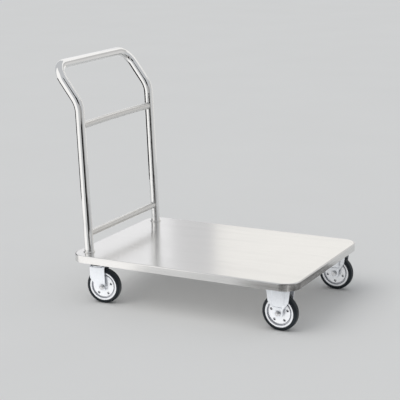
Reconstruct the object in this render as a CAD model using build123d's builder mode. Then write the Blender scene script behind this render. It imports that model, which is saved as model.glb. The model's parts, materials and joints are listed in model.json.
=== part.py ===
from build123d import *
from build123d.topology import SkipClean
import math
import os

# Flat-bed hand trolley: a folded stainless deck with one fixed bent-tube handle,
# two rigid casters at the front and two swivel casters under the handle.
# Millimetres. +X is forward, +Y is to the left, +Z is up. The floor is Z = 0 and
# the origin is under the middle of the whole trolley.

# ---------------------------------------------------------------- driving dimensions

# Deck
deck_length = 900
deck_width = 600
deck_top = 182  # load face above the floor
deck_sheet = 2
deck_flange = 27  # depth of the folded edge
deck_corner_radius = 57
deck_edge_radius = 4
load_margin = 10  # flat rim left round the load face

# Stiffeners welded under the deck
stiffener_length = 840
stiffener_spacing = 190
stiffener_width = 60
stiffener_depth = 20
stiffener_lip = 12
stiffener_sheet = 2

# Handle
tube_radius = 17
tube_wall = 1.5
leg_inset = 50  # leg foot, ahead of the deck's rear edge
leg_spacing = 483
leg_lean = 0.027  # backward travel for each millimetre of height
knee_height = 730
knee_bend = 90  # centre line radius
grip_height = 865.5
grip_setback = 100.5  # grip behind the knees
grip_bend = 60
upper_rail_height = 651.5
upper_rail_radius = 13
upper_rail_bow = 9  # the middle of the upper rail stands this far behind its ends
lower_rail_height = 250
lower_rail_radius = 11.8
rail_wall = 1.5

# Handle feet
collar_radius = 21
collar_height = 4
collar_chamfer = 2
plug_length = 28
foot_bolt_radius = 5
foot_bolt_hole_radius = 5.5
foot_bolt_length = 27
foot_plate_length = 26
foot_plate_width = 44
foot_plate_thickness = 4
foot_washer_radius = 10.5
foot_washer_thickness = 2
foot_head_radius = 9.8
foot_head_height = 6.4

# Casters
mount_height = 162  # top face of every caster plate
plate_length = 92
plate_width = 76
plate_corner_radius = 10
plate_thickness = 4
plate_hole_radius = 4.5
plate_hole_spacing_x = 70
plate_hole_spacing_y = 61
front_caster_inset = 72  # axle behind the deck's front edge
front_caster_spacing = 500
rear_caster_inset = 98  # kingpin ahead of the deck's rear edge
rear_caster_spacing = 510
rear_caster_turn = 7.3  # the swivel casters stand turned by this many degrees
swivel_trail = 20
leg_plate = 3
leg_gap = 38  # between the two legs of a fork
boss_radius = 17  # round lower end of a fork leg
axle_radius = 5
axle_hole_radius = 5.25

# Saddles between the deck and the caster plates
saddle_sheet = 2.5
saddle_corner_radius = 12
front_saddle_length = 96
rear_saddle_length = 118
rear_saddle_shift = 9  # the rear saddles reach back over the handle feet

# Caster fasteners
mount_bolt_radius = 4
mount_bolt_tip = 173.5
mount_head_radius = 7.5
mount_head_height = 5.3
mount_washer_radius = 8
mount_washer_thickness = 1.6
mount_nut_height = 6.5

# Swivel head
crown_top = 143
crown_front = 31  # ahead of the kingpin
crown_rear = 27
leg_shoulder = 96  # the fork leg starts to narrow below this height
crown_outer_bend = 9
kingpin_radius = 6
kingpin_hole_radius = 6.1
kingpin_head_radius = 10
kingpin_tip = 132.4
kingpin_nut_radius = 10
kingpin_nut_height = 5
kingpin_flange_radius = 12.5
kingpin_flange_thickness = 2
swivel_play = 0.3  # free gap between the fork and the fixed parts
race_pitch_radius = 21
race_height = 150
race_ball_radius = 3
race_groove_radius = 3.12
race_ball_count = 16
race_cup_radius = 27
race_cup_depth = 6.5
race_ring_radius = 26.6
race_ring_height = 5.5
dust_ring_radius = 30
dust_ring_bottom = 145.5
dust_ring_top = 155

# Rigid bracket
bracket_top_half = 45
bracket_waist_half = 38.5
bracket_waist_height = 106
bracket_neck_half = 18
bracket_neck_height = 78
bracket_waist_bend = 12
bracket_panel_width = 50
bracket_panel_bottom = 85
bracket_panel_proud = 4.5
bracket_panel_bend = 12
bracket_panel_taper = 50  # degrees

# Wheel
wheel_radius = 65
tread_half = 8.5
tyre_half = 16
tyre_shoulder_radius = 10
rim_sheet = 1.6
rim_lip_radius = 53
rim_lip_inner_radius = 46.8
rim_lip_offset = 12.6  # outer face of the lip from the wheel's middle plane
rim_valley_outer_radius = 45
rim_valley_inner_radius = 42
rim_valley_offset = 4.5
rim_disc_radius = 40.6
rim_disc_offset = 9
rim_collar_offset = 12.5
rim_bend = 0.9
rivet_circle_radius = 32
rivet_count = 5
rivet_angle = 90  # of the first rivet, from the heading
rivet_radius = 3
rivet_head_radius = 4.2
rivet_head_height = 1.8
dimple_radius = 5
hub_radius = 14
hub_half = 17.6
bush_radius = 11
bush_half = 18.2
sleeve_radius = 8
bush_play = 0.06  # running fit on the sleeve
nut_corner_radius = 9.8
nut_height = 8
bolt_head_height = 6.4
bolt_tip = 33  # from the wheel's middle plane

# ---------------------------------------------------------------- derived places

half_leg_spacing = leg_spacing / 2
leg_sides = (-1, 1)  # right, left
handle_overhang = (
    leg_lean * (knee_height - deck_top) + grip_setback + tube_radius - leg_inset
)
deck_x = handle_overhang / 2
rear_edge = deck_x - deck_length / 2
front_edge = deck_x + deck_length / 2
foot_x = rear_edge + leg_inset
feet = [(foot_x, side * half_leg_spacing) for side in leg_sides]
deck_underside = deck_top - deck_sheet
plate_underside = mount_height - plate_thickness
leg_half = leg_gap / 2
fork_half = leg_half + leg_plate


def leg_x(height):
    """X of a handle leg's centre line at a height below the knee."""
    return foot_x - leg_lean * (height - deck_top)


def leg_plane(side):
    """Plane square to one leg at its foot, side -1 for right and 1 for left."""
    return Plane(origin=(foot_x, side * half_leg_spacing, deck_top), z_dir=(-leg_lean, 0, 1))


class Caster:
    """Where one caster stands, its heading, its axle and its sketch planes."""

    def __init__(self, x, y, trail, turn):
        up = Vector(0, 0, 1)
        self.floor = Vector(x, y, 0)
        self.heading = Vector(1, 0, 0).rotate(Axis.Z, turn)
        self.side = Vector(0, 1, 0).rotate(Axis.Z, turn)
        self.outboard = self.side * math.copysign(1, y)
        self.axle = self.floor + self.heading * trail + up * wheel_radius
        self.kingpin = Axis(self.floor, up)
        self.spin = Axis(self.axle, self.outboard)
        # Sketch x is the radius, upward, and sketch y is outboard along the axle.
        self.section = Plane(origin=self.axle, x_dir=up, z_dir=up.cross(self.outboard))
        # Sketch x is forward or sideways from the mounting centre, sketch y is height.
        self.side_view = Plane(origin=self.floor, x_dir=self.heading, z_dir=-self.side)
        self.front_view = Plane(origin=self.floor, x_dir=self.side, z_dir=self.heading)

    def across(self, offset):
        """Plane square to the axle, offset outboard from the wheel's middle plane."""
        origin = self.axle + self.outboard * offset
        return Plane(origin=origin, x_dir=self.heading, z_dir=self.outboard)

    def level(self, height):
        """Horizontal plane over the mounting centre, square to the deck."""
        return Plane(origin=(self.floor.X, self.floor.Y, height))


front_x = front_edge - front_caster_inset
rear_x = rear_edge + rear_caster_inset
front_casters = {
    "front_left": Caster(front_x, front_caster_spacing / 2, 0, 0),
    "front_right": Caster(front_x, -front_caster_spacing / 2, 0, 0),
}
rear_casters = {
    "rear_left": Caster(rear_x, rear_caster_spacing / 2, swivel_trail, rear_caster_turn),
    "rear_right": Caster(rear_x, -rear_caster_spacing / 2, swivel_trail, rear_caster_turn),
}
casters = {**front_casters, **rear_casters}

os.makedirs("parts", exist_ok=True)

# ---------------------------------------------------------------- deck

load_rear = foot_x + collar_radius + load_margin
load_length = front_edge - load_margin - load_rear
load_width = deck_width - 2 * load_margin

# Folded pan with a rounded edge, open underneath, drilled for the handle bolts.
# The load face ahead of the handle feet is marked off as a face of its own.
with BuildPart() as deck_pan:
    with BuildSketch(Plane.XY.offset(deck_top - deck_flange)):
        with Locations((deck_x, 0)):
            RectangleRounded(deck_length, deck_width, deck_corner_radius)
    extrude(amount=deck_flange)
    fillet(deck_pan.faces().sort_by(Axis.Z)[-1].edges(), radius=deck_edge_radius)
    offset(amount=-deck_sheet, openings=deck_pan.faces().sort_by(Axis.Z)[0])
    with BuildSketch(Plane.XY.offset(deck_top)):
        with Locations(*feet):
            Circle(foot_bolt_hole_radius)
    extrude(amount=-deck_sheet, mode=Mode.SUBTRACT)
    with BuildSketch(Plane.XY.offset(deck_top)):
        with Locations((load_rear + load_length / 2, 0)):
            RectangleRounded(load_length, load_width, deck_corner_radius - load_margin)
    with SkipClean():
        extrude(amount=-deck_sheet, clean=False)
deck_pan.part.label = "deck_pan"
export_step(deck_pan.part, "parts/deck_pan.step")

# Two top-hat sections run lengthwise under the load face.
for side_name, side in (("left", 1), ("right", -1)):
    with BuildPart() as stiffener:
        with BuildSketch(Plane.YZ.offset(deck_x - stiffener_length / 2)):
            with Locations((side * stiffener_spacing / 2, deck_underside)):
                Rectangle(
                    stiffener_width + 2 * stiffener_lip,
                    stiffener_sheet,
                    align=(Align.CENTER, Align.MAX),
                )
                Rectangle(stiffener_width, stiffener_depth, align=(Align.CENTER, Align.MAX))
                Rectangle(
                    stiffener_width - 2 * stiffener_sheet,
                    stiffener_depth - stiffener_sheet,
                    align=(Align.CENTER, Align.MAX),
                    mode=Mode.SUBTRACT,
                )
        extrude(amount=stiffener_length)
    stiffener.part.label = f"deck_stiffener_{side_name}"
    export_step(stiffener.part, f"parts/deck_stiffener_{side_name}.step")

# Folded channel pieces space the caster plates down from the deck.
saddles = (
    ("front_saddles", front_casters, front_saddle_length, 0),
    ("rear_saddles", rear_casters, rear_saddle_length, -rear_saddle_shift),
)
saddle_depth = deck_underside - mount_height
for saddle_name, pair, saddle_length, saddle_shift in saddles:
    with BuildPart() as saddle:
        for caster in pair.values():
            with BuildSketch(caster.level(mount_height)):
                with Locations((saddle_shift, 0)):
                    RectangleRounded(saddle_length, plate_width, saddle_corner_radius)
            extrude(amount=saddle_depth)
            with BuildSketch(caster.level(mount_height + saddle_sheet)):
                with Locations((saddle_shift, 0)):
                    Rectangle(saddle_length - 2 * saddle_sheet, plate_width)
            extrude(amount=saddle_depth - saddle_sheet, mode=Mode.SUBTRACT)
            with BuildSketch(caster.level(mount_height)):
                with GridLocations(plate_hole_spacing_x, plate_hole_spacing_y, 2, 2):
                    Circle(plate_hole_radius)
                Circle(kingpin_head_radius)
            extrude(amount=saddle_sheet, mode=Mode.SUBTRACT)
    saddle.part.label = saddle_name
    export_step(saddle.part, f"parts/{saddle_name}.step")

# ---------------------------------------------------------------- handle

# One tube: up the right leg, back at the knee, across the grip and down the left.
start_height = deck_top - tube_radius
handle_points = (
    (leg_x(start_height), -half_leg_spacing, start_height),
    (leg_x(knee_height), -half_leg_spacing, knee_height),
    (leg_x(knee_height) - grip_setback, -half_leg_spacing, grip_height),
    (leg_x(knee_height) - grip_setback, half_leg_spacing, grip_height),
    (leg_x(knee_height), half_leg_spacing, knee_height),
    (leg_x(start_height), half_leg_spacing, start_height),
)
with BuildPart() as handle_tube:
    with BuildLine() as handle_path:
        FilletPolyline(*handle_points, radius=[knee_bend, grip_bend, grip_bend, knee_bend])
    with BuildSketch(Plane(origin=handle_path.line @ 0, z_dir=handle_path.line % 0)):
        Circle(tube_radius)
        Circle(tube_radius - tube_wall, mode=Mode.SUBTRACT)
    sweep(path=handle_path.line)
    split(bisect_by=Plane.XY.offset(deck_top), keep=Keep.TOP)
handle_tube.part.label = "handle_tube"
export_step(handle_tube.part, "parts/handle_tube.step")

# The rails end in copes that sit on the legs.
rail_x = leg_x(upper_rail_height)
with BuildPart() as upper_rail:
    with BuildLine() as upper_rail_path:
        ThreePointArc(
            (rail_x, -half_leg_spacing, upper_rail_height),
            (rail_x - upper_rail_bow, 0, upper_rail_height),
            (rail_x, half_leg_spacing, upper_rail_height),
        )
    with BuildSketch(Plane(origin=upper_rail_path.line @ 0, z_dir=upper_rail_path.line % 0)):
        Circle(upper_rail_radius)
        Circle(upper_rail_radius - rail_wall, mode=Mode.SUBTRACT)
    sweep(path=upper_rail_path.line)
    for side in leg_sides:
        with BuildSketch(leg_plane(side)):
            Circle(tube_radius)
        extrude(amount=knee_height - deck_top, mode=Mode.SUBTRACT)
upper_rail.part.label = "upper_rail"
export_step(upper_rail.part, "parts/upper_rail.step")

with BuildPart() as lower_rail:
    with BuildSketch(Plane.XZ.offset(-half_leg_spacing)):
        with Locations((leg_x(lower_rail_height), lower_rail_height)):
            Circle(lower_rail_radius)
            Circle(lower_rail_radius - rail_wall, mode=Mode.SUBTRACT)
    extrude(amount=leg_spacing)
    for side in leg_sides:
        with BuildSketch(leg_plane(side)):
            Circle(tube_radius)
        extrude(amount=knee_height - deck_top, mode=Mode.SUBTRACT)
lower_rail.part.label = "lower_rail"
export_step(lower_rail.part, "parts/lower_rail.step")

# Bevelled rings round the feet of the legs.
with BuildPart() as foot_collars:
    for side in leg_sides:
        with BuildSketch(Plane.XY.offset(deck_top)):
            with Locations((foot_x, side * half_leg_spacing)):
                Circle(collar_radius)
        extrude(amount=collar_height)
    chamfer(foot_collars.faces().sort_by(Axis.Z)[-2:].edges(), length=collar_chamfer)
    for side in leg_sides:
        with BuildSketch(leg_plane(side)):
            Circle(tube_radius)
        extrude(amount=2 * collar_height, both=True, mode=Mode.SUBTRACT)
foot_collars.part.label = "foot_collars"
export_step(foot_collars.part, "parts/foot_collars.step")

# Threaded plugs inside the feet of the legs.
with BuildPart() as leg_plugs:
    for side in leg_sides:
        with BuildSketch(leg_plane(side)):
            Circle(tube_radius - tube_wall)
        extrude(amount=plug_length, both=True)
    split(bisect_by=Plane.XY.offset(deck_top), keep=Keep.TOP)
    with BuildSketch(Plane.XY.offset(deck_top)):
        with Locations(*feet):
            Circle(foot_bolt_radius)
    extrude(amount=2 * plug_length, mode=Mode.SUBTRACT)
leg_plugs.part.label = "leg_plugs"
export_step(leg_plugs.part, "parts/leg_plugs.step")

# Backing plates spread the handle's load under the deck.
with BuildPart() as foot_plates:
    with BuildSketch(Plane.XY.offset(deck_underside)):
        with Locations(*feet):
            Rectangle(foot_plate_length, foot_plate_width)
            Circle(foot_bolt_hole_radius, mode=Mode.SUBTRACT)
    extrude(amount=-foot_plate_thickness)
foot_plates.part.label = "foot_plates"
export_step(foot_plates.part, "parts/foot_plates.step")

foot_washer_top = deck_underside - foot_plate_thickness
with BuildPart() as foot_washers:
    with BuildSketch(Plane.XY.offset(foot_washer_top)):
        with Locations(*feet):
            Circle(foot_washer_radius)
            Circle(foot_bolt_hole_radius, mode=Mode.SUBTRACT)
    extrude(amount=-foot_washer_thickness)
foot_washers.part.label = "foot_washers"
export_step(foot_washers.part, "parts/foot_washers.step")

# Hexagon bolts come up through the deck into the plugs.
foot_head_top = foot_washer_top - foot_washer_thickness
with BuildPart() as foot_bolts:
    with BuildSketch(Plane.XY.offset(foot_head_top)):
        with Locations(*feet):
            RegularPolygon(foot_head_radius, 6)
    extrude(amount=-foot_head_height)
    with BuildSketch(Plane.XY.offset(foot_head_top)):
        with Locations(*feet):
            Circle(foot_bolt_radius)
    extrude(amount=foot_bolt_length)
foot_bolts.part.label = "foot_bolts"
export_step(foot_bolts.part, "parts/foot_bolts.step")

# ---------------------------------------------------------------- caster mounting

# Four hexagon bolts hold each caster plate, with their nuts inside the saddles.
with BuildPart() as mount_bolts:
    for caster in casters.values():
        with BuildSketch(caster.level(plate_underside - mount_washer_thickness)):
            with GridLocations(plate_hole_spacing_x, plate_hole_spacing_y, 2, 2):
                RegularPolygon(mount_head_radius, 6)
        extrude(amount=-mount_head_height)
        with BuildSketch(caster.level(plate_underside - mount_washer_thickness)):
            with GridLocations(plate_hole_spacing_x, plate_hole_spacing_y, 2, 2):
                Circle(mount_bolt_radius)
        extrude(amount=mount_bolt_tip - plate_underside + mount_washer_thickness)
mount_bolts.part.label = "mount_bolts"
export_step(mount_bolts.part, "parts/mount_bolts.step")

with BuildPart() as mount_washers:
    for caster in casters.values():
        with BuildSketch(caster.level(plate_underside)):
            with GridLocations(plate_hole_spacing_x, plate_hole_spacing_y, 2, 2):
                Circle(mount_washer_radius)
                Circle(plate_hole_radius, mode=Mode.SUBTRACT)
        extrude(amount=-mount_washer_thickness)
mount_washers.part.label = "mount_washers"
export_step(mount_washers.part, "parts/mount_washers.step")

with BuildPart() as mount_nuts:
    for caster in casters.values():
        with BuildSketch(caster.level(mount_height + saddle_sheet)):
            with GridLocations(plate_hole_spacing_x, plate_hole_spacing_y, 2, 2):
                RegularPolygon(mount_head_radius, 6)
                Circle(mount_bolt_radius, mode=Mode.SUBTRACT)
        extrude(amount=mount_nut_height)
mount_nuts.part.label = "mount_nuts"
export_step(mount_nuts.part, "parts/mount_nuts.step")

# ---------------------------------------------------------------- rigid brackets

bracket_half_outline = (
    (bracket_top_half, plate_underside),
    (bracket_waist_half, bracket_waist_height),
    (bracket_neck_half, bracket_neck_height),
)
for corner, caster in front_casters.items():
    with BuildPart() as bracket:
        # Legs: wide shoulders, a narrow neck and a round end about the axle
        with BuildSketch(caster.side_view) as leg_outline:
            with BuildLine():
                shoulders = Polyline(
                    (0, plate_underside),
                    *bracket_half_outline,
                    (boss_radius, wheel_radius),
                )
                RadiusArc(shoulders @ 1, (0, wheel_radius - boss_radius), boss_radius)
                mirror(about=Plane.YZ)
            make_face()
            fillet(leg_outline.vertices().group_by(Axis.Y)[-2], radius=bracket_waist_bend)
        extrude(amount=fork_half, both=True)
        # Raised panels down the middle of both legs
        for face_side in (-1, 1):
            outward = caster.side * face_side
            face_origin = caster.floor + outward * fork_half
            face_plane = Plane(origin=face_origin, x_dir=caster.heading, z_dir=outward)
            up_sign = math.copysign(1, face_plane.y_dir.Z)
            panel_height = plate_underside - bracket_panel_bottom
            with BuildSketch(face_plane):
                with Locations((0, up_sign * (bracket_panel_bottom + panel_height / 2))):
                    RectangleRounded(bracket_panel_width, panel_height, bracket_panel_bend)
            extrude(amount=bracket_panel_proud, taper=bracket_panel_taper)
        # Room for the wheel between the legs
        with BuildSketch(caster.front_view):
            Rectangle(leg_gap, plate_underside, align=(Align.CENTER, Align.MIN))
        extrude(amount=bracket_top_half, both=True, mode=Mode.SUBTRACT)
        # Plate
        with BuildSketch(caster.level(plate_underside)):
            RectangleRounded(plate_length, plate_width, plate_corner_radius)
        extrude(amount=plate_thickness)
        with BuildSketch(caster.level(plate_underside)):
            with GridLocations(plate_hole_spacing_x, plate_hole_spacing_y, 2, 2):
                Circle(plate_hole_radius)
        extrude(amount=plate_thickness, mode=Mode.SUBTRACT)
        with BuildSketch(caster.across(0)):
            Circle(axle_hole_radius)
        extrude(amount=2 * fork_half, both=True, mode=Mode.SUBTRACT)
    bracket.part.label = f"{corner}_bracket"
    export_step(bracket.part, f"parts/{corner}_bracket.step")

# ---------------------------------------------------------------- swivel heads

for corner, caster in rear_casters.items():
    # Plate with a pressed cup, the upper race of the swivel
    with BuildPart() as top_plate:
        with BuildSketch(caster.level(plate_underside)):
            RectangleRounded(plate_length, plate_width, plate_corner_radius)
        extrude(amount=plate_thickness)
        with BuildSketch(caster.level(plate_underside)):
            Circle(race_cup_radius)
        extrude(amount=-race_cup_depth)
        with BuildSketch(caster.front_view):
            with Locations((race_pitch_radius, race_height)):
                Circle(race_groove_radius)
        revolve(axis=caster.kingpin, mode=Mode.SUBTRACT)
        with BuildSketch(caster.level(mount_height)):
            Circle(kingpin_radius)
        extrude(amount=-plate_thickness - race_cup_depth, mode=Mode.SUBTRACT)
        with BuildSketch(caster.front_view):
            with BuildLine():
                Polyline(
                    (0, mount_height),
                    (kingpin_head_radius, mount_height),
                    (kingpin_radius, plate_underside),
                    (0, plate_underside),
                    close=True,
                )
            make_face()
        revolve(axis=caster.kingpin, mode=Mode.SUBTRACT)
        with BuildSketch(caster.level(plate_underside)):
            with GridLocations(plate_hole_spacing_x, plate_hole_spacing_y, 2, 2):
                Circle(plate_hole_radius)
        extrude(amount=plate_thickness, mode=Mode.SUBTRACT)
    top_plate.part.label = f"{corner}_top_plate"
    export_step(top_plate.part, f"parts/{corner}_top_plate.step")

    # Pressed fork: a U section cut to the leg's outline, with the lower race on top
    with BuildPart() as fork:
        with BuildSketch(caster.front_view) as outer_section:
            Rectangle(2 * fork_half, crown_top, align=(Align.CENTER, Align.MIN))
            fillet(outer_section.vertices().group_by(Axis.Y)[-1], radius=crown_outer_bend)
        extrude(amount=crown_front, both=True)
        with BuildSketch(caster.front_view) as inner_section:
            Rectangle(leg_gap, crown_top - leg_plate, align=(Align.CENTER, Align.MIN))
            fillet(
                inner_section.vertices().group_by(Axis.Y)[-1],
                radius=crown_outer_bend - leg_plate,
            )
        extrude(amount=crown_front, both=True, mode=Mode.SUBTRACT)
        with BuildSketch(caster.side_view):
            with Locations((swivel_trail, wheel_radius)):
                Circle(boss_radius)
            with Locations(((crown_front - crown_rear) / 2, leg_shoulder)):
                Rectangle(
                    crown_front + crown_rear,
                    crown_top - leg_shoulder,
                    align=(Align.CENTER, Align.MIN),
                )
            make_hull()
        extrude(amount=2 * fork_half, both=True, mode=Mode.INTERSECT)
        with BuildSketch(caster.level(crown_top - leg_plate / 2)):
            Circle(race_ring_radius)
        extrude(amount=race_ring_height + leg_plate / 2)
        with BuildSketch(caster.front_view):
            with Locations((race_pitch_radius, race_height)):
                Circle(race_groove_radius)
        revolve(axis=caster.kingpin, mode=Mode.SUBTRACT)
        with BuildSketch(caster.level(crown_top + race_ring_height)):
            Circle(kingpin_hole_radius)
        extrude(amount=-race_ring_height - leg_plate, mode=Mode.SUBTRACT)
        with BuildSketch(caster.across(0)):
            Circle(axle_hole_radius)
        extrude(amount=2 * fork_half, both=True, mode=Mode.SUBTRACT)
    fork.part.label = f"{corner}_fork"
    export_step(fork.part, f"parts/{corner}_fork.step")

# Countersunk pins hold the forks up to the plates.
with BuildPart() as kingpins:
    for caster in rear_casters.values():
        with BuildSketch(caster.front_view):
            with BuildLine():
                Polyline(
                    (0, mount_height),
                    (kingpin_head_radius, mount_height),
                    (kingpin_radius, plate_underside),
                    (kingpin_radius, kingpin_tip),
                    (0, kingpin_tip),
                    close=True,
                )
            make_face()
        revolve(axis=caster.kingpin)
kingpins.part.label = "kingpins"
export_step(kingpins.part, "parts/kingpins.step")

# Flanged nuts under the fork crowns.
flange_top = crown_top - leg_plate - swivel_play
with BuildPart() as kingpin_nuts:
    for caster in rear_casters.values():
        with BuildSketch(caster.level(flange_top)):
            Circle(kingpin_flange_radius)
            Circle(kingpin_radius, mode=Mode.SUBTRACT)
        extrude(amount=-kingpin_flange_thickness)
        with BuildSketch(caster.level(flange_top - kingpin_flange_thickness)):
            RegularPolygon(kingpin_nut_radius, 6)
            Circle(kingpin_radius, mode=Mode.SUBTRACT)
        extrude(amount=-kingpin_nut_height)
kingpin_nuts.part.label = "kingpin_nuts"
export_step(kingpin_nuts.part, "parts/kingpin_nuts.step")

# Rubber skirts keep dirt out of the races.
with BuildPart() as dust_rings:
    for caster in rear_casters.values():
        with BuildSketch(caster.level(dust_ring_bottom)):
            Circle(dust_ring_radius)
            Circle(race_cup_radius, mode=Mode.SUBTRACT)
        extrude(amount=dust_ring_top - dust_ring_bottom)
dust_rings.part.label = "dust_rings"
export_step(dust_rings.part, "parts/dust_rings.step")

# Steel balls between the races.
with BuildPart() as race_balls:
    for caster in rear_casters.values():
        with Locations(caster.level(race_height)):
            with PolarLocations(race_pitch_radius, race_ball_count):
                Sphere(race_ball_radius)
race_balls.part.label = "race_balls"
export_step(race_balls.part, "parts/race_balls.step")

# ---------------------------------------------------------------- axles


def axle_groups():
    """Name and casters of each set of axle parts: one per fork, one for the front."""
    yield "front_axle", list(front_casters.values())
    for rear_corner, rear_caster in rear_casters.items():
        yield f"{rear_corner}_axle", [rear_caster]


for group, members in axle_groups():
    with BuildPart() as axle_bolt:
        for caster in members:
            with BuildSketch(caster.across(-fork_half)):
                RegularPolygon(nut_corner_radius, 6)
            extrude(amount=-bolt_head_height)
            with BuildSketch(caster.across(-fork_half)):
                Circle(axle_radius)
            extrude(amount=fork_half + bolt_tip)
    axle_bolt.part.label = f"{group}_bolt"
    export_step(axle_bolt.part, f"parts/{group}_bolt.step")

    with BuildPart() as axle_nut:
        for caster in members:
            with BuildSketch(caster.across(fork_half)):
                RegularPolygon(nut_corner_radius, 6)
                Circle(axle_radius, mode=Mode.SUBTRACT)
            extrude(amount=nut_height)
    axle_nut.part.label = f"{group}_nut"
    export_step(axle_nut.part, f"parts/{group}_nut.step")

    with BuildPart() as axle_sleeve:
        for caster in members:
            with BuildSketch(caster.across(-leg_half)):
                Circle(sleeve_radius)
                Circle(axle_hole_radius, mode=Mode.SUBTRACT)
            extrude(amount=leg_gap)
    axle_sleeve.part.label = f"{group}_sleeve"
    export_step(axle_sleeve.part, f"parts/{group}_sleeve.step")

# ---------------------------------------------------------------- wheels


def rivet_start(direction):
    """Angle of the first rivet, seen from the given side of the wheel."""
    return direction * rivet_angle


def rim_half(caster, direction):
    """One pressed half of a rim: direction 1 is outboard, -1 inboard."""
    with BuildPart() as half:
        with BuildSketch(caster.section):
            with BuildLine() as pressing:
                FilletPolyline(
                    (hub_radius + rim_sheet, direction * rim_collar_offset),
                    (hub_radius + rim_sheet, direction * rim_disc_offset),
                    (rim_disc_radius, direction * rim_disc_offset),
                    (rim_valley_inner_radius, direction * rim_valley_offset),
                    (rim_valley_outer_radius, direction * rim_valley_offset),
                    (rim_lip_inner_radius, direction * rim_lip_offset),
                    (rim_lip_radius, direction * rim_lip_offset),
                    radius=rim_bend,
                )
                offset(
                    amount=rim_sheet,
                    side=Side.RIGHT if direction > 0 else Side.LEFT,
                    closed=True,
                )
            make_face()
        revolve(axis=caster.spin)
        # Dimples reach in to the middle plane, where the rivets clamp the halves.
        dimple_plane = Plane(
            origin=caster.axle,
            x_dir=caster.heading,
            z_dir=caster.outboard * direction,
        )
        with BuildSketch(dimple_plane):
            with PolarLocations(rivet_circle_radius, rivet_count, rivet_start(direction)):
                Circle(dimple_radius + rim_sheet)
        extrude(amount=rim_disc_offset - rim_sheet / 2)
        with BuildSketch(dimple_plane.offset(rim_sheet)):
            with PolarLocations(rivet_circle_radius, rivet_count, rivet_start(direction)):
                Circle(dimple_radius)
        extrude(amount=rim_disc_offset, mode=Mode.SUBTRACT)
        with BuildSketch(dimple_plane):
            with PolarLocations(rivet_circle_radius, rivet_count, rivet_start(direction)):
                Circle(rivet_radius)
        extrude(amount=rim_sheet, mode=Mode.SUBTRACT)
    return half


for corner, caster in casters.items():
    outer_half = rim_half(caster, 1)
    outer_half.part.label = f"{corner}_rim_outer"
    export_step(outer_half.part, f"parts/{corner}_rim_outer.step")
    inner_half = rim_half(caster, -1)
    inner_half.part.label = f"{corner}_rim_inner"
    export_step(inner_half.part, f"parts/{corner}_rim_inner.step")

    # Solid rubber tyre, its foot wedged between the rim halves
    with BuildPart() as tyre:
        with BuildSketch(caster.section):
            with BuildLine():
                base = Polyline(
                    (rim_valley_outer_radius + rim_sheet, 0),
                    (rim_lip_inner_radius, rim_lip_offset - rim_sheet),
                    (rim_lip_radius, rim_lip_offset - rim_sheet),
                    (rim_lip_radius + rim_sheet, tyre_half),
                )
                RadiusArc(base @ 1, (wheel_radius, tread_half), tyre_shoulder_radius)
                Line((wheel_radius, tread_half), (wheel_radius, 0))
                mirror(about=Plane.XZ)
            make_face()
        revolve(axis=caster.spin)
        add(outer_half.part, mode=Mode.SUBTRACT)
        add(inner_half.part, mode=Mode.SUBTRACT)
    tyre.part.label = f"{corner}_tyre"
    export_step(tyre.part, f"parts/{corner}_tyre.step")

    with BuildPart() as hub:
        with BuildSketch(caster.across(-hub_half)):
            Circle(hub_radius)
            Circle(bush_radius, mode=Mode.SUBTRACT)
        extrude(amount=2 * hub_half)
    hub.part.label = f"{corner}_hub"
    export_step(hub.part, f"parts/{corner}_hub.step")

    with BuildPart() as bush:
        with BuildSketch(caster.across(-bush_half)):
            Circle(bush_radius)
            Circle(sleeve_radius + bush_play, mode=Mode.SUBTRACT)
        extrude(amount=2 * bush_half)
    bush.part.label = f"{corner}_bush"
    export_step(bush.part, f"parts/{corner}_bush.step")

    with BuildPart() as rivets:
        with BuildSketch(caster.across(-rim_sheet)):
            with PolarLocations(rivet_circle_radius, rivet_count, rivet_start(1)):
                Circle(rivet_radius)
        extrude(amount=2 * rim_sheet)
        for direction in (-1, 1):
            with BuildSketch(caster.across(direction * rim_sheet)):
                with PolarLocations(rivet_circle_radius, rivet_count, rivet_start(1)):
                    Circle(rivet_head_radius)
            extrude(amount=direction * rivet_head_height)
    rivets.part.label = f"{corner}_rivets"
    export_step(rivets.part, f"parts/{corner}_rivets.step")
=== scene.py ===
"""Looks of the flat-bed trolley: finishes, welds, tyres, fasteners, light and camera.

Metres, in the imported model's frame: +X forward, +Y to the left, +Z up, and the floor at Z = 0.
"""
import json
import math

import bpy
from mathutils import Matrix, Vector

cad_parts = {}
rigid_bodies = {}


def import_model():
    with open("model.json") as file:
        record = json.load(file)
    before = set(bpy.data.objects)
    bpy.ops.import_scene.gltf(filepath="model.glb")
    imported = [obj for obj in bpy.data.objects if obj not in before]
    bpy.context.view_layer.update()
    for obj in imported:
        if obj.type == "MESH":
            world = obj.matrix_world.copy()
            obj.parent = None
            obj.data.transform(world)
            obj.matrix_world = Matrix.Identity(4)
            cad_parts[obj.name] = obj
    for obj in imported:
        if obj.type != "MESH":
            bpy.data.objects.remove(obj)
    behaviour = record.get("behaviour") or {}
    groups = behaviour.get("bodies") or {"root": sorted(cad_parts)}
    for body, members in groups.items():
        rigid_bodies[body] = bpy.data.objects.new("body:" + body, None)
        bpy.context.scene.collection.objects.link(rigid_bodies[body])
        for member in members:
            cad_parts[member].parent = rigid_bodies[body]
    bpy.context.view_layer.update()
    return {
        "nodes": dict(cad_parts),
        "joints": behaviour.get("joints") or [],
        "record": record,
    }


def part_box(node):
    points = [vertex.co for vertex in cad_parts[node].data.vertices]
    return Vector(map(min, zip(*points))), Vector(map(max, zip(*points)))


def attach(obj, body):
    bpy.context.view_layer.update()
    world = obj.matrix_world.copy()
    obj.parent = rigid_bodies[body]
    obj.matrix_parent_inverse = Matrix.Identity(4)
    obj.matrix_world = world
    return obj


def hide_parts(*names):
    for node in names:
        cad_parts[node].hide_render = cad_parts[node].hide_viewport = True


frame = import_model()

MM = 0.001
UP = Vector((0, 0, 1))

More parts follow.
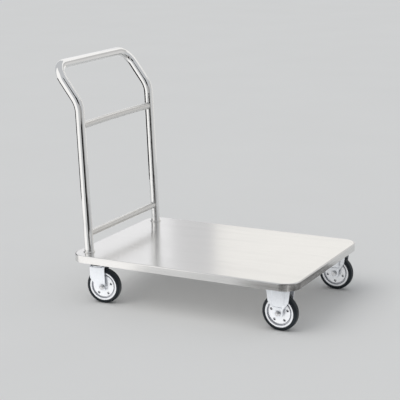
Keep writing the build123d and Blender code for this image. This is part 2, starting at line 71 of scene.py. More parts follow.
record = frame["record"]
joints = {joint["name"]: joint for joint in frame["joints"]}
slot_of = {row["node"]: row["material_slot"] for row in record["subparts"]}
deck_low, deck_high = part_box("deck_pan")
deck_middle = (deck_low + deck_high) / 2
CORNERS = ("front_left", "front_right", "rear_left", "rear_right")


# ---------------------------------------------------------------- material nodes

# Sockets of a Mix node: its factor, and its inputs and output for numbers and for colours.
MIX_FACTOR = 0
MIX_FIRST_NUMBER = 2
MIX_SECOND_NUMBER = 3
MIX_FIRST_COLOUR = 6
MIX_SECOND_COLOUR = 7
MIX_NUMBER = 0
MIX_COLOUR = 2


class Surface:
    """One Principled material and short ways to add nodes to it."""

    def __init__(self, name, colour, roughness, metallic=0.0):
        self.material = bpy.data.materials.new(name)
        self.material.use_nodes = True
        self.tree = self.material.node_tree
        self.shader = self.tree.nodes["Principled BSDF"]
        self.shader.inputs["Base Color"].default_value = (*colour, 1)
        self.shader.inputs["Roughness"].default_value = roughness
        self.shader.inputs["Metallic"].default_value = metallic
        self.position = self.node("ShaderNodeTexCoord").outputs["Object"]
        self.normal = self.node("ShaderNodeTexCoord").outputs["Normal"]

    def node(self, kind, **settings):
        """A new node with its settings."""
        made = self.tree.nodes.new(kind)
        for key, value in settings.items():
            setattr(made, key, value)
        return made

    def feed(self, socket, value):
        """Links an output to a socket, or sets a plain value on it."""
        if isinstance(value, bpy.types.NodeSocket):
            self.tree.links.new(value, socket)
        else:
            socket.default_value = value

    def set(self, name, value):
        """Drives one of the shader's own sockets."""
        self.feed(self.shader.inputs[name], value)

    def math(self, operation, first, second=0.0):
        """The number that a Math node makes of one or two numbers."""
        made = self.node("ShaderNodeMath", operation=operation)
        self.feed(made.inputs[0], first)
        self.feed(made.inputs[1], second)
        return made.outputs[0]

    def stretched(self, scale):
        """Object coordinates scaled by a different number along each axis."""
        made = self.node("ShaderNodeMapping")
        self.feed(made.inputs["Vector"], self.position)
        made.inputs["Scale"].default_value = scale
        return made.outputs[0]

    def noise(self, scale, detail=3.0, roughness=0.55):
        """Noise from 0 to 1; scale is its number of features per metre along X, Y and Z."""
        made = self.node("ShaderNodeTexNoise")
        self.feed(made.inputs["Vector"], self.stretched(scale))
        made.inputs["Scale"].default_value = 1.0
        made.inputs["Detail"].default_value = detail
        made.inputs["Roughness"].default_value = roughness
        return made.outputs["Fac"]

    def spread(self, value, low, high, start=0.3, end=0.7):
        """Maps start..end of a 0 to 1 value to low..high."""
        made = self.node("ShaderNodeMapRange")
        self.feed(made.inputs["Value"], value)
        made.inputs["From Min"].default_value = start
        made.inputs["From Max"].default_value = end
        made.inputs["To Min"].default_value = low
        made.inputs["To Max"].default_value = high
        return made.outputs[0]

    def blend(self, factor, first, second):
        """A colour between first and second."""
        made = self.node("ShaderNodeMix", data_type="RGBA")
        self.feed(made.inputs[MIX_FACTOR], factor)
        for socket, colour in ((MIX_FIRST_COLOUR, first), (MIX_SECOND_COLOUR, second)):
            linked = isinstance(colour, bpy.types.NodeSocket)
            self.feed(made.inputs[socket], colour if linked else (*colour, 1))
        return made.outputs[MIX_COLOUR]

    def bump(self, *layers):
        """Stacks (height, metres) layers of bump and drives the shader's normal."""
        normal = None
        for height, depth in layers:
            made = self.node("ShaderNodeBump")
            made.inputs["Strength"].default_value = 1.0
            made.inputs["Distance"].default_value = depth
            self.feed(made.inputs["Height"], height)
            if normal is not None:
                self.feed(made.inputs["Normal"], normal)
            normal = made.outputs[0]
        self.set("Normal", normal)

    def painted_shade_mask(self, reach):
        """Mask of the painted shade, from ambient occlusion: 1 deep in corners and hollows, 0 on
        open surfaces.
        """
        made = self.node("ShaderNodeAmbientOcclusion", samples=8)
        made.inputs["Distance"].default_value = reach
        return self.spread(made.outputs["AO"], 1.0, 0.0, 0.35, 0.95)

    def facing(self, axis):
        """1 where the surface faces along an axis, either way, and 0 where it doesn't."""
        parts = self.node("ShaderNodeSeparateXYZ")
        self.feed(parts.inputs[0], self.normal)
        along = self.math("ABSOLUTE", parts.outputs["XYZ".index(axis)])
        return self.spread(along, 0.0, 1.0, 0.6, 0.8)

    def either(self, factor, first, second):
        """A number between first and second."""
        made = self.node("ShaderNodeMix", data_type="FLOAT")
        self.feed(made.inputs[MIX_FACTOR], factor)
        self.feed(made.inputs[MIX_FIRST_NUMBER], first)
        self.feed(made.inputs[MIX_SECOND_NUMBER], second)
        return made.outputs[MIX_NUMBER]


def shade(colour, factor):
    """A colour made darker by a factor."""
    return tuple(channel * factor for channel in colour)


# ---------------------------------------------------------------- finishes
# Noise scales are features per metre along X, Y and Z, and bump depths are millimetres.


def deck_steel():
    """Stainless sheet brushed along the deck, and level round its folded edge."""
    colour = (0.83, 0.825, 0.815)
    made = Surface("deck_steel", colour, 0.24, 1.0)
    made.set("Anisotropic", 0.7)
    across = made.node("ShaderNodeTangent", direction_type="RADIAL", axis="X")
    made.set("Tangent", across.outputs[0])
    on_top = made.facing("Z")
    broad = made.either(on_top, made.noise((1.2, 1.2, 260), 3), made.noise((0.35, 60, 60), 5))
    fine = made.either(on_top, made.noise((4, 4, 900), 2), made.noise((1.5, 700, 700), 3))
    cloud = made.noise((3, 4, 4), 3)
    scuff = made.noise((2, 16, 16), 5, 0.6)
    streaks = made.blend(made.spread(broad, 0, 1), shade(colour, 0.95), colour)
    lines = made.blend(made.spread(fine, 0, 0.4), streaks, shade(colour, 0.84))
    worn = made.blend(made.spread(scuff, 0, 0.12, 0.5, 0.75), lines, shade(colour, 0.8))
    made.set("Base Color", worn)
    rough = made.math("ADD", made.spread(cloud, 0.17, 0.22), made.spread(broad, -0.025, 0.025))
    made.set("Roughness", made.math("ADD", rough, made.spread(scuff, 0, 0.03, 0.5, 0.75)))
    made.bump((broad, 0.006 * MM), (fine, 0.006 * MM))
    return made.material


def mill_steel():
    """Plain rolled stainless of the parts under the deck."""
    colour = (0.60, 0.61, 0.62)
    made = Surface("under_steel", colour, 0.4, 1.0)
    cloud = made.noise((14, 14, 14), 4)
    grain = made.noise((60, 900, 900), 2)
    made.set("Base Color", made.blend(made.spread(cloud, 0, 1), shade(colour, 0.86), colour))
    made.set("Roughness", made.spread(cloud, 0.34, 0.5))
    made.bump((cloud, 0.1 * MM), (grain, 0.012 * MM))
    return made.material


def polished_tube():
    """Mirror-polished stainless tube with faint drawing lines and handling smears."""
    colour = (0.86, 0.86, 0.855)
    made = Surface("tube_steel", colour, 0.07, 1.0)
    smear = made.noise((22, 22, 9), 4)
    lines = made.noise((420, 420, 5), 2)
    made.set("Base Color", made.blend(made.spread(smear, 0, 1), shade(colour, 0.96), colour))
    made.set("Roughness", made.spread(smear, 0.03, 0.07))
    made.bump((lines, 0.004 * MM))
    return made.material


def satin_tube():
    """Satin stainless of the cross rails, brushed along them."""
    colour = (0.74, 0.735, 0.72)
    made = Surface("rail_steel", colour, 0.25, 1.0)
    lines = made.noise((900, 8, 900), 2)
    cloud = made.noise((30, 12, 30), 3)
    made.set("Base Color", made.blend(made.spread(lines, 0, 1), shade(colour, 0.94), colour))
    made.set("Roughness", made.spread(cloud, 0.2, 0.32))
    made.bump((lines, 0.002 * MM))
    return made.material


def zinc_plate(name, colour, low, high):
    """Bright zinc plate with a faint crystal pattern, and painted shade that darkens it towards
    grey in its corners and hollows.
    """
    made = Surface(name, colour, low, 0.6)
    crystal = made.node("ShaderNodeTexVoronoi", feature="F1")
    made.feed(crystal.inputs["Vector"], made.position)
    crystal.inputs["Scale"].default_value = 260
    cloud = made.noise((45, 45, 45), 4)
    grain = made.noise((1200, 1200, 1200), 2)
    spangle = made.math("MULTIPLY", crystal.outputs["Color"], 0.4)
    tone = made.math("ADD", spangle, made.math("MULTIPLY", cloud, 0.6))
    plating = made.blend(made.spread(tone, 0, 1), shade(colour, 0.95), colour)
    # Painted shade: the grey that ambient occlusion blends into the plating in corners and
    # hollows.
    painted_hollow_shade = (0.52, 0.53, 0.56)
    made.set("Base Color", made.blend(made.painted_shade_mask(9 * MM), plating, painted_hollow_shade))
    made.set("Roughness", made.spread(tone, low, high))
    made.bump((cloud, 0.03 * MM), (grain, 0.006 * MM))
    return made.material


def fastener_steel():
    """Plated steel of the bolts, nuts and washers."""
    colour = (0.70, 0.71, 0.73)
    made = Surface("fastener_steel", colour, 0.3, 1.0)
    cloud = made.noise((160, 160, 160), 4)
    made.set("Base Color", made.blend(made.spread(cloud, 0, 1), shade(colour, 0.8), colour))
    made.set("Roughness", made.spread(cloud, 0.24, 0.42))
    made.bump((cloud, 0.05 * MM))
    return made.material


def bearing_steel():
    """Ground steel of the race balls."""
    colour = (0.72, 0.72, 0.74)
    made = Surface("ball_steel", colour, 0.08, 1.0)
    cloud = made.noise((300, 300, 300), 2)
    made.set("Roughness", made.spread(cloud, 0.06, 0.14))
    return made.material


def turned_aluminium():
    """Aluminium with turning marks round it."""
    colour = (0.72, 0.72, 0.74)
    made = Surface("plug_metal", colour, 0.3, 1.0)
    rings = made.noise((20, 20, 1800), 2)
    made.set("Base Color", made.blend(made.spread(rings, 0, 1), shade(colour, 0.88), colour))
    made.set("Roughness", made.spread(rings, 0.25, 0.4))
    made.bump((rings, 0.02 * MM))
    return made.material


def tyre_rubber():
    """Black solid rubber with dusty patches."""
    colour = (0.006, 0.008, 0.010)
    dusty = (0.014, 0.016, 0.018)
    made = Surface("tyre_rubber", colour, 0.5)
    made.set("Specular IOR Level", 0.4)
    made.set("Specular Tint", (0.75, 0.88, 1.0, 1))
    mottle = made.noise((90, 90, 90), 4)
    grain = made.noise((1400, 1400, 1400), 2)
    made.set("Base Color", made.blend(made.spread(mottle, 0, 1, 0.4, 0.75), colour, dusty))
    made.set("Roughness", made.spread(mottle, 0.42, 0.6))
    made.bump((mottle, 0.06 * MM), (grain, 0.03 * MM))
    return made.material


def skirt_rubber():
    """Dark rubber of the dust rings."""
    colour = (0.02, 0.022, 0.024)
    faded = (0.04, 0.042, 0.044)
    made = Surface("skirt_rubber", colour, 0.5)
    mottle = made.noise((120, 120, 120), 3)
    made.set("Base Color", made.blend(made.spread(mottle, 0, 1), colour, faded))
    made.set("Roughness", made.spread(mottle, 0.4, 0.6))
    made.bump((mottle, 0.05 * MM))
    return made.material


def nylon():
    """Off-white nylon of the wheel bushes and the rings in the lock nuts."""
    colour = (0.82, 0.81, 0.76)
    made = Surface("bush_plastic", colour, 0.45)
    mottle = made.noise((200, 200, 200), 3)
    made.set("Base Color", made.blend(made.spread(mottle, 0, 1), shade(colour, 0.9), colour))
    made.set("Roughness", made.spread(mottle, 0.38, 0.52))
    made.bump((mottle, 0.03 * MM))
    return made.material


finishes = {
    "deck_steel": deck_steel(),
    "under_steel": mill_steel(),
    "tube_steel": polished_tube(),
    "rail_steel": satin_tube(),
    "zinc_steel": zinc_plate("zinc_steel", (0.90, 0.93, 0.97), 0.3, 0.4),
    "rim_steel": zinc_plate("rim_steel", (0.93, 0.95, 0.98), 0.28, 0.38),
    "fastener_steel": fastener_steel(),
    "ball_steel": bearing_steel(),
    "plug_metal": turned_aluminium(),
    "tyre_rubber": tyre_rubber(),
    "skirt_rubber": skirt_rubber(),
    "bush_plastic": nylon(),
}

for name, node in frame["nodes"].items():
    node.data.materials.clear()
    node.data.materials.append(finishes[slot_of[name]])

# ---------------------------------------------------------------- detail pieces
# Each piece is made about its own local axis, +Z outboard or upward, and placed by a matrix.

IDENTITY = Matrix.Identity(4)
FLAT = Vector((1, 1, 0))

# Fasteners. The bolts and nuts of both front axles are on one body and share a node.
AXLE_GROUPS = {
    "front_axle": ("front_left", "front_right"),
    "rear_left_axle": ("rear_left",),
    "rear_right_axle": ("rear_right",),
}
AXLE_RADIUS = 5 * MM
MOUNT_RADIUS = 4 * MM
MOUNT_HEAD_HEIGHT = 5.3 * MM
FOOT_RADIUS = 5 * MM
FOOT_HEAD_HEIGHT = 6.4 * MM
THREAD_PITCH = 1.25 * MM
THREAD_DEPTH = 0.6 * THREAD_PITCH
THREAD_TIP = 0.8 * THREAD_PITCH  # length of the chamfer at a thread's tip
THREAD_TIP_CUT = 0.25 * THREAD_PITCH
THREAD_STEPS = 8  # rings in one turn of a thread
THREAD_SEGMENTS = 36
SHANK_SEGMENTS = 48
HEX_SEGMENTS = 72
HEX_CHAMFER = math.tan(math.radians(30))
HEX_FACE = 0.97  # radius of a hexagon's flat face over half its width across flats
HOLE_CHAMFER = 0.4 * MM
OVERLAP = 0.5 * MM  # how far a shank reaches into its head or its thread
COLLAR_SHARE = 0.26  # part of a lock nut's height that is its collar
FASTENER_GAP = 20 * MM  # one upright bolt or nut is narrower than this in plan
WHEEL_REACH = 100 * MM  # everything on one wheel is nearer to its centre than this

# Tyres.
TYRE_SEGMENTS = 160
SHOULDER_RADIUS = 9.9 * MM
SHOULDER_INSET = 9.7 * MM  # from the tread in to the shoulder's centre
SHOULDER_HEIGHT = 6.0 * MM  # from the middle plane out to the shoulder's centre
LIP_FACE = 10.9 * MM  # the rim lips hold the tyre's foot, this far from the middle plane

# Handle and welds.
TUBE_RADIUS = 17 * MM
LEG_LEAN = 0.027  # how far a leg leans back for each metre up
WELD_RADIUS = 1.5 * MM
WELD_SEGMENTS = 10
WELD_STEPS = 90
WELD_RIPPLE = 3  # steps along the bead from one ripple to the next
WELD_SWELL = 0.14
tube_low, tube_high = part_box("handle_tube")
KNEE_LOW = tube_low.z + 0.75 * (tube_high.z - tube_low.z)


def finish_piece(name, points, faces, place, body, slot, sharp=35):
    """Makes a mesh piece that rides on a body; edges over sharp degrees stay sharp."""
    mesh = bpy.data.meshes.new(name)
    mesh.from_pydata([place @ Vector(point) for point in points], [], faces)
    mesh.validate()
    mesh.shade_smooth()
    mesh.set_sharp_from_angle(angle=math.radians(sharp))
    mesh.materials.append(finishes[slot])
    piece = bpy.data.objects.new(name, mesh)
    bpy.context.scene.collection.objects.link(piece)
    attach(piece, body)
    return piece


def merged(parts):
    """Joins (points, faces) lists into one."""
    points, faces = [], []
    for part_points, part_faces in parts:
        start = len(points)
        points.extend(part_points)
        faces.extend([tuple(start + index for index in face) for face in part_faces])
    return points, faces


def moved(part, offset):
    """A part shifted by an offset."""
    return [Vector(point) + offset for point in part[0]], part[1]


def rings_to_mesh(rings, capped):
    """Skins a stack of rings. It is capped at both ends, or its last ring joins its first."""
    count = len(rings[0])
    points = [point for row in rings for point in row]
    faces = []
    for i in range(len(rings) - 1 if capped else len(rings)):
        j = (i + 1) % len(rings)
        for k in range(count):
            m = (k + 1) % count
            faces.append((i * count + k, i * count + m, j * count + m, j * count + k))
    if capped:
        start = len(points) - count
        faces.append(tuple(reversed(range(count))))
        faces.append(tuple(start + k for k in range(count)))
    return points, faces


def ring(radius_at, height_at, count):
    """A ring of points; radius and height may depend on the angle."""
    made = []
    for k in range(count):
        angle = 2 * math.pi * k / count
        radius = radius_at(angle) if callable(radius_at) else radius_at
        height = height_at(angle) if callable(height_at) else height_at
        made.append((radius * math.cos(angle), radius * math.sin(angle), height))
    return made


def hex_radius(corner_radius):
    """Radius of a hexagon's outline against the angle, a corner on local +X."""
    flat = corner_radius * math.cos(math.pi / 6)

    def radius(angle):
        return flat / math.cos((angle % (math.pi / 3)) - math.pi / 6)

    return radius


def hexagon(corner_radius, bottom, top, hole_radius=0.0, chamfer_top=True):
    """A hexagon nut or bolt head; its corners are chamfered below and, on a nut, above too."""
    outline = hex_radius(corner_radius)
    flat = corner_radius * math.cos(math.pi / 6) * HEX_FACE

    def edge(level, side, chamfered):
        return lambda angle: level - side * HEX_CHAMFER * max(0, outline(angle) - flat) * chamfered

    rows = [
        (flat, bottom),
        (outline, edge(bottom, -1, True)),
        (outline, edge(top, 1, chamfer_top)),
        (flat, top),
    ]
    if hole_radius:
        mouth = hole_radius + HOLE_CHAMFER
        rows = [(hole_radius, bottom + HOLE_CHAMFER), (mouth, bottom)] + rows
        rows += [(mouth, top), (hole_radius, top - HOLE_CHAMFER)]
    rings = [ring(radius, height, HEX_SEGMENTS) for radius, height in rows]
    return rings_to_mesh(rings, not hole_radius)


def thread(radius, bottom, top):
    """A screw thread with a chamfered tip at its top."""
    levels = int((top - bottom) / THREAD_PITCH * THREAD_STEPS)
    rings = []
    for i in range(levels + 1):
        height = bottom + (top - bottom) * i / levels
        full = min(1.0, (top - height) / THREAD_TIP)

        def outline(angle):
            turns = height / THREAD_PITCH - angle / (2 * math.pi)
            crest = THREAD_DEPTH * full * abs(2 * (turns % 1) - 1)
            return radius - THREAD_DEPTH + crest - THREAD_TIP_CUT * (1 - full)

        rings.append(ring(outline, height, THREAD_SEGMENTS))
    return rings_to_mesh(rings, True)


def lathe(profile, count, capped=False):
    """Turns (radius, height) points about the axis, to a ring or to a capped rod."""
    return rings_to_mesh([ring(radius, height, count) for radius, height in profile], capped)


def lock_nut(corner_radius, bottom, height, hole_radius):
    """A hexagon nut with the plain collar on it, and the nylon ring that the collar holds."""
    high = bottom + height
    low = high - COLLAR_SHARE * height
    body = hexagon(corner_radius, bottom, low, hole_radius)
    flat = corner_radius * math.cos(math.pi / 6)
    crown = lathe(
        [
            (flat * 0.95, low - 0.1 * MM),
            (flat * 0.95, high - 0.9 * MM),
            (flat * 0.87, high - 0.2 * MM),
            (flat * 0.80, high),
            (flat * 0.72, high),
            (flat * 0.70, high - 0.5 * MM),
            (flat * 0.70, low - 0.1 * MM),
        ],
        HEX_SEGMENTS,
    )
    insert = lathe(
        [
            (flat * 0.70, low),
            (flat * 0.70, high - 0.6 * MM),
            (hole_radius + 0.1 * MM, high - 0.8 * MM),
            (hole_radius + 0.1 * MM, low),
        ],
        HEX_SEGMENTS,
    )
    return merged([body, crown]), insert


def outboard_frame(joint):
    """Place of an axle: local +Z along the axle away from the middle of the trolley."""
    centre = Vector(joint["pos_m"])
    axis = Vector(joint["axis"]).normalized()
    if axis.y * centre.y < 0:
        axis = -axis
    forward = UP.cross(axis).normalized()
    if forward.x < 0:
        forward = -forward
    across = axis.cross(forward)
    return Matrix.Translation(centre) @ Matrix((forward, across, axis)).transposed().to_4x4()


def local_points(node, place):
    """A CAD node's vertices in a wheel's own coordinates, those that belong to that wheel."""
    inverse = place.inverted()
    local = [inverse @ vertex.co for vertex in frame["nodes"][node].data.vertices]
    return [point for point in local if point.length < WHEEL_REACH]


def span(node, place):
    """Lowest and highest place along a wheel's Z, and the widest radius about it."""
    local = local_points(node, place)
    heights = [point.z for point in local]
    return min(heights), max(heights), max(point.xy.length for point in local)


def clusters(node):
    """Boxes (low, high) of the separate solids of a CAD node, which stand apart in plan."""
    groups = []
    for vertex in frame["nodes"][node].data.vertices:
        spot = vertex.co
        for group in groups:
            if (spot.xy - group[0].xy).length < FASTENER_GAP:
                group.append(spot)
                break
        else:
            groups.append([spot.copy()])
    boxes = []
    for group in groups:
        low = Vector(min(point[i] for point in group) for i in range(3))
        high = Vector(max(point[i] for point in group) for i in range(3))
        boxes.append((low, high))
    return boxes


axle_frame = {corner: outboard_frame(joints[f"{corner}_roll"]) for corner in CORNERS}


def placed(part, place):
    """A part put where a matrix says."""
    points, faces = part
    return [place @ Vector(point) for point in points], faces


def add_axles():
    """Axle bolts with chamfered heads and real threads, and nylon lock nuts."""
    for group, corners in AXLE_GROUPS.items():
        body = joints[f"{corners[0]}_roll"]["parent"]
        bolts, nuts, inserts = [], [], []
        for corner in corners:
            place = axle_frame[corner]
            nut_low, nut_high, nut_corner = span(f"{group}_nut", place)
            bolt_low, bolt_high, bolt_corner = span(f"{group}_bolt", place)
            nut, insert = lock_nut(nut_corner, nut_low, nut_high - nut_low, AXLE_RADIUS)
            nuts.append(placed(nut, place))
            inserts.append(placed(insert, place))
            head_top = -nut_low
            head = hexagon(bolt_corner, bolt_low, head_top, chamfer_top=False)
            shank = [(AXLE_RADIUS, head_top - OVERLAP), (AXLE_RADIUS, nut_low)]
            stem = lathe(shank, SHANK_SEGMENTS, True)
            tip = thread(AXLE_RADIUS, nut_low - OVERLAP, bolt_high)
            bolts.extend(placed(part, place) for part in (head, stem, tip))
        for node, parts in ((f"{group}_bolt", bolts), (f"{group}_nut", nuts)):
            name = f"{node}_detail"
            piece = finish_piece(name, *merged(parts), IDENTITY, body, "fastener_steel")
            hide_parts(node)
        finish_piece(f"{group}_nut_insert", *merged(inserts), IDENTITY, body, "bush_plastic")


def add_upright(name, node, make_one):
    """Replaces a node's upright bolts or nuts, each from the box of its CAD solid."""
    parts = []
    for low, high in clusters(node):
        corner = (high.x - low.x) / 2
        middle = (low + high) / 2 * FLAT
        parts.extend(moved(part, middle) for part in make_one(corner, low.z, high.z))
    piece = finish_piece(name, *merged(parts), IDENTITY, "trolley", "fastener_steel")
    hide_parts(node)


def upright_bolt(radius, head_height):
    """A maker of bolts whose heads point down."""

    def make_one(corner, bottom, top):
        head_top = bottom + head_height
        head = hexagon(corner, bottom, head_top, chamfer_top=False)
        return head, thread(radius, head_top - OVERLAP, top)

    return make_one


def mount_nut(corner, bottom, top):
    """The one part of a caster mounting nut."""
    return (hexagon(corner, bottom, top, MOUNT_RADIUS),)


def add_fasteners():
    """The upright bolts and nuts under the deck."""
    mount_bolt = upright_bolt(MOUNT_RADIUS, MOUNT_HEAD_HEIGHT)
    foot_bolt = upright_bolt(FOOT_RADIUS, FOOT_HEAD_HEIGHT)
    add_upright("mount_bolt_detail", "mount_bolts", mount_bolt)
    add_upright("mount_nut_detail", "mount_nuts", mount_nut)
    add_upright("foot_bolt_detail", "foot_bolts", foot_bolt)


def tyre_profile(radius, half, foot):
    """Section of a tyre as (radius, height) points, with ribbed walls and a parting line."""
    side = [
        (foot, 4.0 * MM),
        (foot + 1.8 * MM, LIP_FACE),
        (foot + 6.5 * MM, LIP_FACE),
        (foot + 7.2 * MM, half - 0.9 * MM),
        (foot + 8.0 * MM, half - 0.25 * MM),
        (foot + 8.9 * MM, half - 0.15 * MM),
        (foot + 9.2 * MM, half - 0.75 * MM),
        (foot + 10.0 * MM, half - 0.75 * MM),
        (foot + 10.3 * MM, half - 0.15 * MM),
        (foot + 11.5 * MM, half - 0.6 * MM),
    ]
    for degrees in range(70, 10, -5):
        turn = math.radians(degrees)
        outward = radius - SHOULDER_INSET + SHOULDER_RADIUS * math.cos(turn)
        side.append((outward, SHOULDER_HEIGHT + SHOULDER_RADIUS * math.sin(turn)))
    side.append((radius - 0.02 * MM, 0.48 * half))
    side.append((radius - 0.05 * MM, 0.9 * MM))
    side.append((radius, 0.35 * MM))
    return [(r, -h) for r, h in side] + side[::-1]


def add_tyres():
    """Solid rubber tyres; they replace the plain CAD ones and fill the same space."""
    for corner in CORNERS:
        place = axle_frame[corner]
        tyre = f"{corner}_tyre"
        _, half, radius = span(tyre, place)
        foot = min(point.xy.length for point in local_points(tyre, place))
        part = lathe(tyre_profile(radius, half, foot), TYRE_SEGMENTS)
        wheel = f"{corner}_wheel"
        piece = finish_piece(f"{tyre}_detail", *part, place, wheel, "tyre_rubber", 30)
        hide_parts(tyre)


def bead(path):
    """Rings of a rippled weld bead round a closed path of (point, away) pairs."""
    rings = []
    for i, (spot, away) in enumerate(path):
        before, after = path[i - 1][0], path[(i + 1) % len(path)][0]
        along = (after - before).normalized()
        across = along.cross(away).normalized()
        swell = WELD_RADIUS * (1 + WELD_SWELL * math.sin(2 * math.pi * i / WELD_RIPPLE))
        turns = [2 * math.pi * k / WELD_SEGMENTS for k in range(WELD_SEGMENTS)]
        rings.append(
            [
                spot + away * (swell * math.cos(turn)) + across * (swell * math.sin(turn))
                for turn in turns
            ]
        )
    return rings


def leg_centre(side, height):
    """Centre of a handle leg at a height, from the tube's vertices at its foot and the set lean of
    the leg.
    """
    near = [
        vertex.co
        for vertex in frame["nodes"]["handle_tube"].data.vertices
        if vertex.co.y * side > 0 and vertex.co.z < KNEE_LOW
    ]
    bottom = min(near, key=lambda co: co.z).z
    foot = [co for co in near if co.z < bottom + 4 * MM]
    foot_x = (min(co.x for co in foot) + max(co.x for co in foot)) / 2
    y = side * (tube_high.y - tube_low.y - 2 * TUBE_RADIUS) / 2
    return Vector((foot_x - LEG_LEAN * (height - bottom), y, height))


def add_rail_welds():
    """Weld beads where the cross rails meet the legs."""
    for name in ("upper_rail", "lower_rail"):
        low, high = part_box(name)
        radius = (high.z - low.z) / 2
        height = (high.z + low.z) / 2
        rings = []
        for side in (-1, 1):
            centre = leg_centre(side, height)
            path = []
            for i in range(WELD_STEPS):
                turn = 2 * math.pi * i / WELD_STEPS
                x = radius * math.cos(turn)
                z = radius * math.sin(turn)
                reach = math.sqrt(TUBE_RADIUS**2 - min(x * x, 0.999 * TUBE_RADIUS**2))
                spot = centre + Vector((x, -side * reach, z))
                away = Vector((math.cos(turn), -side * 0.9, math.sin(turn))).normalized()
                path.append((spot, away))
            rings.append(rings_to_mesh(bead(path), False))
        finish_piece(f"{name}_welds", *merged(rings), IDENTITY, "trolley", "rail_steel", 60)


add_axles()
add_fasteners()
add_tyres()
add_rail_welds()


# ---------------------------------------------------------------- studio

FLOOR_RADIUS = 40.0
WORLD_COLOUR = (0.95, 0.97, 1.0)
WORLD_STRENGTH = 0.62
KEY_COLOUR = (1.0, 0.985, 0.965)
KEY_STRENGTH = 0.75
KEY_SOFTNESS = math.radians(50)
KEY_HEADING = Vector((1.0, 1.1, -2.2))  # the way its light travels
MAT_HEIGHT = 4 * MM
NEUTRAL = (1.0, 0.99, 0.98)
WARM = (1.0, 0.985, 0.955)
COOL = (0.985, 0.985, 1.0)


def floor_material():
    """Pale matt paint with hardly any cloud in it."""
    colour = (0.80, 0.80, 0.79)
    made = Surface("floor_paint", colour, 0.9)
    made.set("Specular IOR Level", 0.0)
    cloud = made.noise((1.5, 1.5, 1.5), 3)
    made.set("Base Color", made.blend(made.spread(cloud, 0, 1), shade(colour, 0.985), colour))
    return made.material


def make_floor():
    """A round pale floor that reaches past every view."""
    bpy.ops.mesh.primitive_circle_add(vertices=96, radius=FLOOR_RADIUS, fill_type="NGON")
    floor = bpy.context.object
    floor.name = "floor"
    floor.data.materials.append(floor_material())


def make_world():
    """Even, faintly cool light from all round."""
    world = bpy.data.worlds.new("studio")
    world.use_nodes = True
    bpy.context.scene.world = world
    background = world.node_tree.nodes["Background"]
    background.inputs["Color"].default_value = (*WORLD_COLOUR, 1)
    background.inputs["Strength"].default_value = WORLD_STRENGTH


def make_key():
    """One very soft, even light from the upper left behind the camera."""
    data = bpy.data.lights.new("key", "SUN")
    data.energy = KEY_STRENGTH
    data.angle = KEY_SOFTNESS
    data.color = KEY_COLOUR
    light = bpy.data.objects.new("key", data)
    bpy.context.scene.collection.objects.link(light)
    light.rotation_euler = KEY_HEADING.to_track_quat("-Z", "Y").to_euler()
    light.visible_glossy = False


def make_card(name, start, end, low, high, glow, tint=NEUTRAL):
    """An upright studio card between two floor points, which only reflections show."""
    corners = [(*start, low), (*end, low), (*end, high), (*start, high)]
    add_card(name, corners, glow, tint)


def make_mat(name, corners, glow):
    """A card lying on the floor, which only reflections show."""
    add_card(name, [(x, y, MAT_HEIGHT) for x, y in corners], glow, NEUTRAL)


def add_card(name, corners, glow, tint):
    """A glowing four-cornered card that neither the camera nor diffuse light sees."""
    material = bpy.data.materials.new(name)
    material.use_nodes = True
    shader = material.node_tree.nodes["Principled BSDF"]
    shader.inputs["Base Color"].default_value = (0, 0, 0, 1)
    shader.inputs["Roughness"].default_value = 1.0
    shader.inputs["Specular IOR Level"].default_value = 0.0
    shader.inputs["Emission Color"].default_value = (*tint, 1)
    shader.inputs["Emission Strength"].default_value = glow
    mesh = bpy.data.meshes.new(name)
    mesh.from_pydata(corners, [], [(0, 1, 2, 3)])
    mesh.materials.append(material)
    card = bpy.data.objects.new(name, mesh)
    bpy.context.scene.collection.objects.link(card)
    card.visible_camera = False
    card.visible_diffuse = False
    card.visible_shadow = False


CAMERA_AZIMUTH = math.radians(28.69)
CAMERA_ELEVATION = math.radians(13.99)
CAMERA_ROLL = -0.023  # the horizon leans by this many radians
CAMERA_DISTANCE = 4.778
CAMERA_TARGET = deck_middle + Vector((-0.1776, 0.2110, 0.1282))
CAMERA_LENS = 110.31  # millimetres
SENSOR_WIDTH = 36  # millimetres


def make_camera():
    """The camera on its sphere round the target, tipped by its roll."""
    data = bpy.data.cameras.new("camera")
    data.lens = CAMERA_LENS
    data.sensor_width = SENSOR_WIDTH
    camera = bpy.data.objects.new("camera", data)
    bpy.context.scene.collection.objects.link(camera)
    flat = math.cos(CAMERA_ELEVATION)
    back = Vector(
        (
            math.sin(CAMERA_AZIMUTH) * flat,
            -math.cos(CAMERA_AZIMUTH) * flat,
            math.sin(CAMERA_ELEVATION),
        )
    )
    right = (-back).cross(UP).normalized()
    above = back.cross(right)
    lean = Matrix.Rotation(CAMERA_ROLL, 3, "Z")
    camera.matrix_world = Matrix.Translation(CAMERA_TARGET + back * CAMERA_DISTANCE) @ (
        Matrix((right, above, back)).transposed() @ lean
    ).to_4x4()
    bpy.context.scene.camera = camera


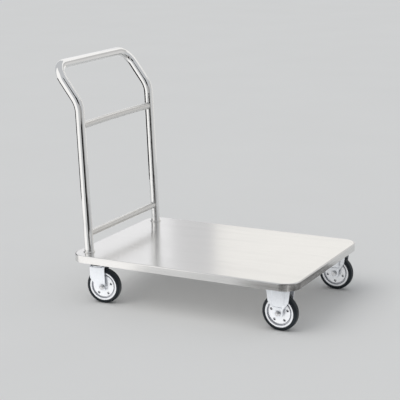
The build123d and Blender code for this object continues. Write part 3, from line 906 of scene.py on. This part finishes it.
def make_cards():
    """Cards and mats whose bright and dark areas the steel reflects, one group for each side."""
    # Front and left: what the legs, the deck's near edge and the wheels show.
    front_start, front_end = (0.2, -1.15), (0.98, -0.79)
    make_card("white_left", (-1.62, -0.45), (-0.5, -1.45), 0.0, 2.2, 1.1)
    make_card("dark_front_low", front_start, front_end, 0.0, 0.5, 0.01)
    make_card("dark_front_mid", front_start, front_end, 0.5, 1.1, 0.42)
    make_card("dark_front_high", front_start, front_end, 1.1, 2.0, 0.01)
    make_card("grey_front", front_end, (1.6, -0.4), 0.0, 1.2, 0.3)
    make_card("dark_rear", (-1.5, -0.5), (-1.3, 0.9), 0.1, 0.55, 0.02)
    # Back: what the deck's top, the grip and the rails show.
    dip_start, dip_end, warm_end, back_end = (-1.36, 2.1), (-1.12, 2.18), (-0.2, 2.33), (2.2, 1.6)
    make_card("back_left", (-2.6, 1.7), dip_start, 0.0, 2.0, 0.99, COOL)
    make_card("back_dip", dip_start, dip_end, 0.0, 2.0, 0.72, COOL)
    make_card("back_right", dip_end, warm_end, 0.0, 2.0, 1.04, WARM)
    make_card("back_low", warm_end, back_end, 0.0, 1.2, 0.72)
    make_card("back_mid", warm_end, back_end, 1.2, 2.0, 0.6)
    make_card("back_high", (-2.6, 2.33), (2.2, 2.33), 2.0, 3.4, 1.05)
    # Floor: what the flanges, the wheels and the underside show.
    make_mat("white_mat", [(-1.6, -1.3), (-0.5, -1.3), (-0.35, -0.5), (-1.2, -0.35)], 1.1)
    make_mat("wheel_mat", [(-0.6, -0.6), (0.75, -0.6), (0.75, -0.28), (-0.6, -0.28)], 1.3)
    make_mat("under_mat", [(-0.45, -0.22), (0.62, -0.22), (0.62, 0.2), (-0.45, 0.2)], 0.8)
    make_mat("dark_mat", [(0.08, -1.15), (0.75, -0.95), (0.75, -0.62), (0.08, -0.62)], 0.08)
    make_mat("corner_mat", [(0.75, -0.95), (1.6, -0.8), (1.6, -0.2), (0.75, -0.2)], 0.09)
    make_mat("grey_mat", [(0.64, -0.2), (1.2, -0.2), (1.2, 0.5), (0.64, 0.5)], 0.14)


make_floor()
make_world()
make_key()
make_cards()
make_camera()
bpy.context.scene.view_settings.view_transform = "Standard"
